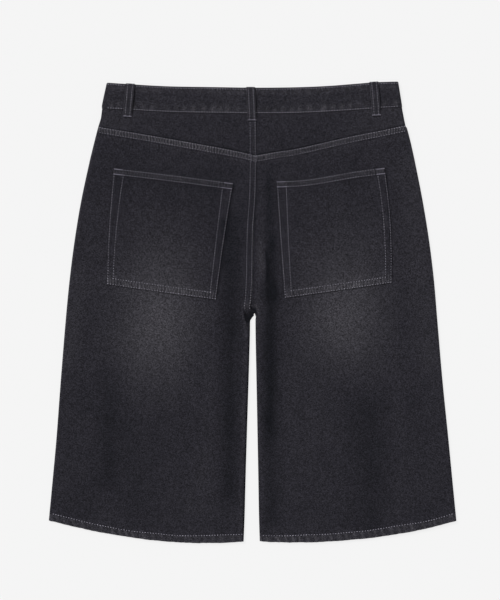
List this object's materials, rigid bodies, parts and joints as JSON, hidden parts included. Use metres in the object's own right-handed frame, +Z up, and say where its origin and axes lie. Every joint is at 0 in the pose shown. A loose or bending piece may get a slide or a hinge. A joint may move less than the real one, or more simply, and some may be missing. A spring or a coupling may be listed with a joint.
{
  "type": "denim shorts",
  "caption": "Knee-length loose denim shorts laid out flat with the back up: V yoke, patch pockets, waistband with belt loops, wide hemmed legs.",
  "frame": {"origin": "middle of the bounding box, on the surface that the shorts lie on", "axes": "+Y from the hems to the waist, +Z up out of the back of the shorts, +X to the wearer's right"},
  "size_m": [0.5985, 0.6778, 0.0124],
  "materials": {
    "denim": "washed charcoal twill",
    "waist_denim": "washed charcoal twill, two layers",
    "thread": "grey topstitching thread",
    "zip_tape": "woven tape with metal teeth",
    "button_metal": "aged gunmetal"
  },
  "bodies": {
    "root": {"waistband": "waist_denim", "yoke_left": "denim", "yoke_right": "denim", "back_panel_left": "denim", "back_panel_right": "denim", "back_pocket_left": "denim", "back_pocket_right": "denim", "front_panel_left": "denim", "front_panel_right": "denim", "fly_zip": "zip_tape", "fly_shield": "denim", "belt_loop_back_left": "waist_denim", "belt_loop_back_centre": "waist_denim", "belt_loop_back_right": "waist_denim", "belt_loop_front_left": "waist_denim", "belt_loop_front_right": "waist_denim", "waist_button": "button_metal"}
  },
  "joints": []
}
